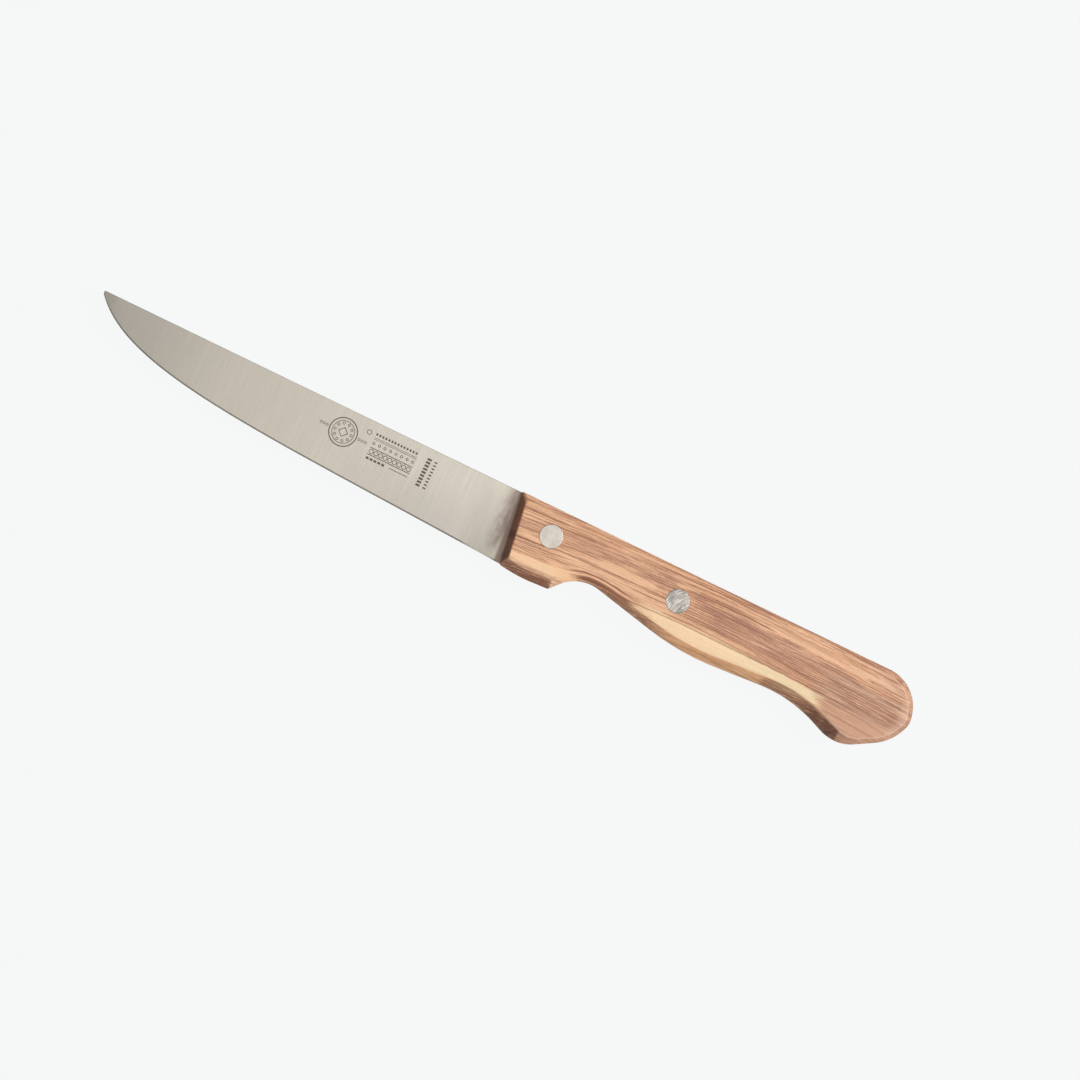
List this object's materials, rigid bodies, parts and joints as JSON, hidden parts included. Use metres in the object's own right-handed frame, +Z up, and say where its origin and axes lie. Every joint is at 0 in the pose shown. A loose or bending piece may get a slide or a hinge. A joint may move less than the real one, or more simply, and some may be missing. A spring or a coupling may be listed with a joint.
{
  "type": "boning knife",
  "caption": "Boning knife: a straight-backed ground steel blade, its tang in a slotted wooden handle with a finger notch and hooked butt, held by flush rivets.",
  "frame": {"origin": "centre of the knife's box, on the surface that it lies on: the handle's lower flat face is at Z = 0", "axes": "the knife lies on its side: +X from the blade's tip to the handle's butt, +Y from the cutting edge to the spine, +Z up through the handle's thickness"},
  "size_m": [0.2554, 0.0248, 0.016],
  "materials": {
    "blade_steel": "satin, ground across the blade",
    "handle_wood": "sanded and oiled, long grain",
    "rivet_alloy": "ground flush"
  },
  "bodies": {
    "root": {"blade": "blade_steel", "handle": "handle_wood", "front_rivet_tube": "rivet_alloy", "front_rivet_pin": "rivet_alloy", "rear_rivet_tube": "rivet_alloy", "rear_rivet_pin": "rivet_alloy"}
  },
  "joints": []
}
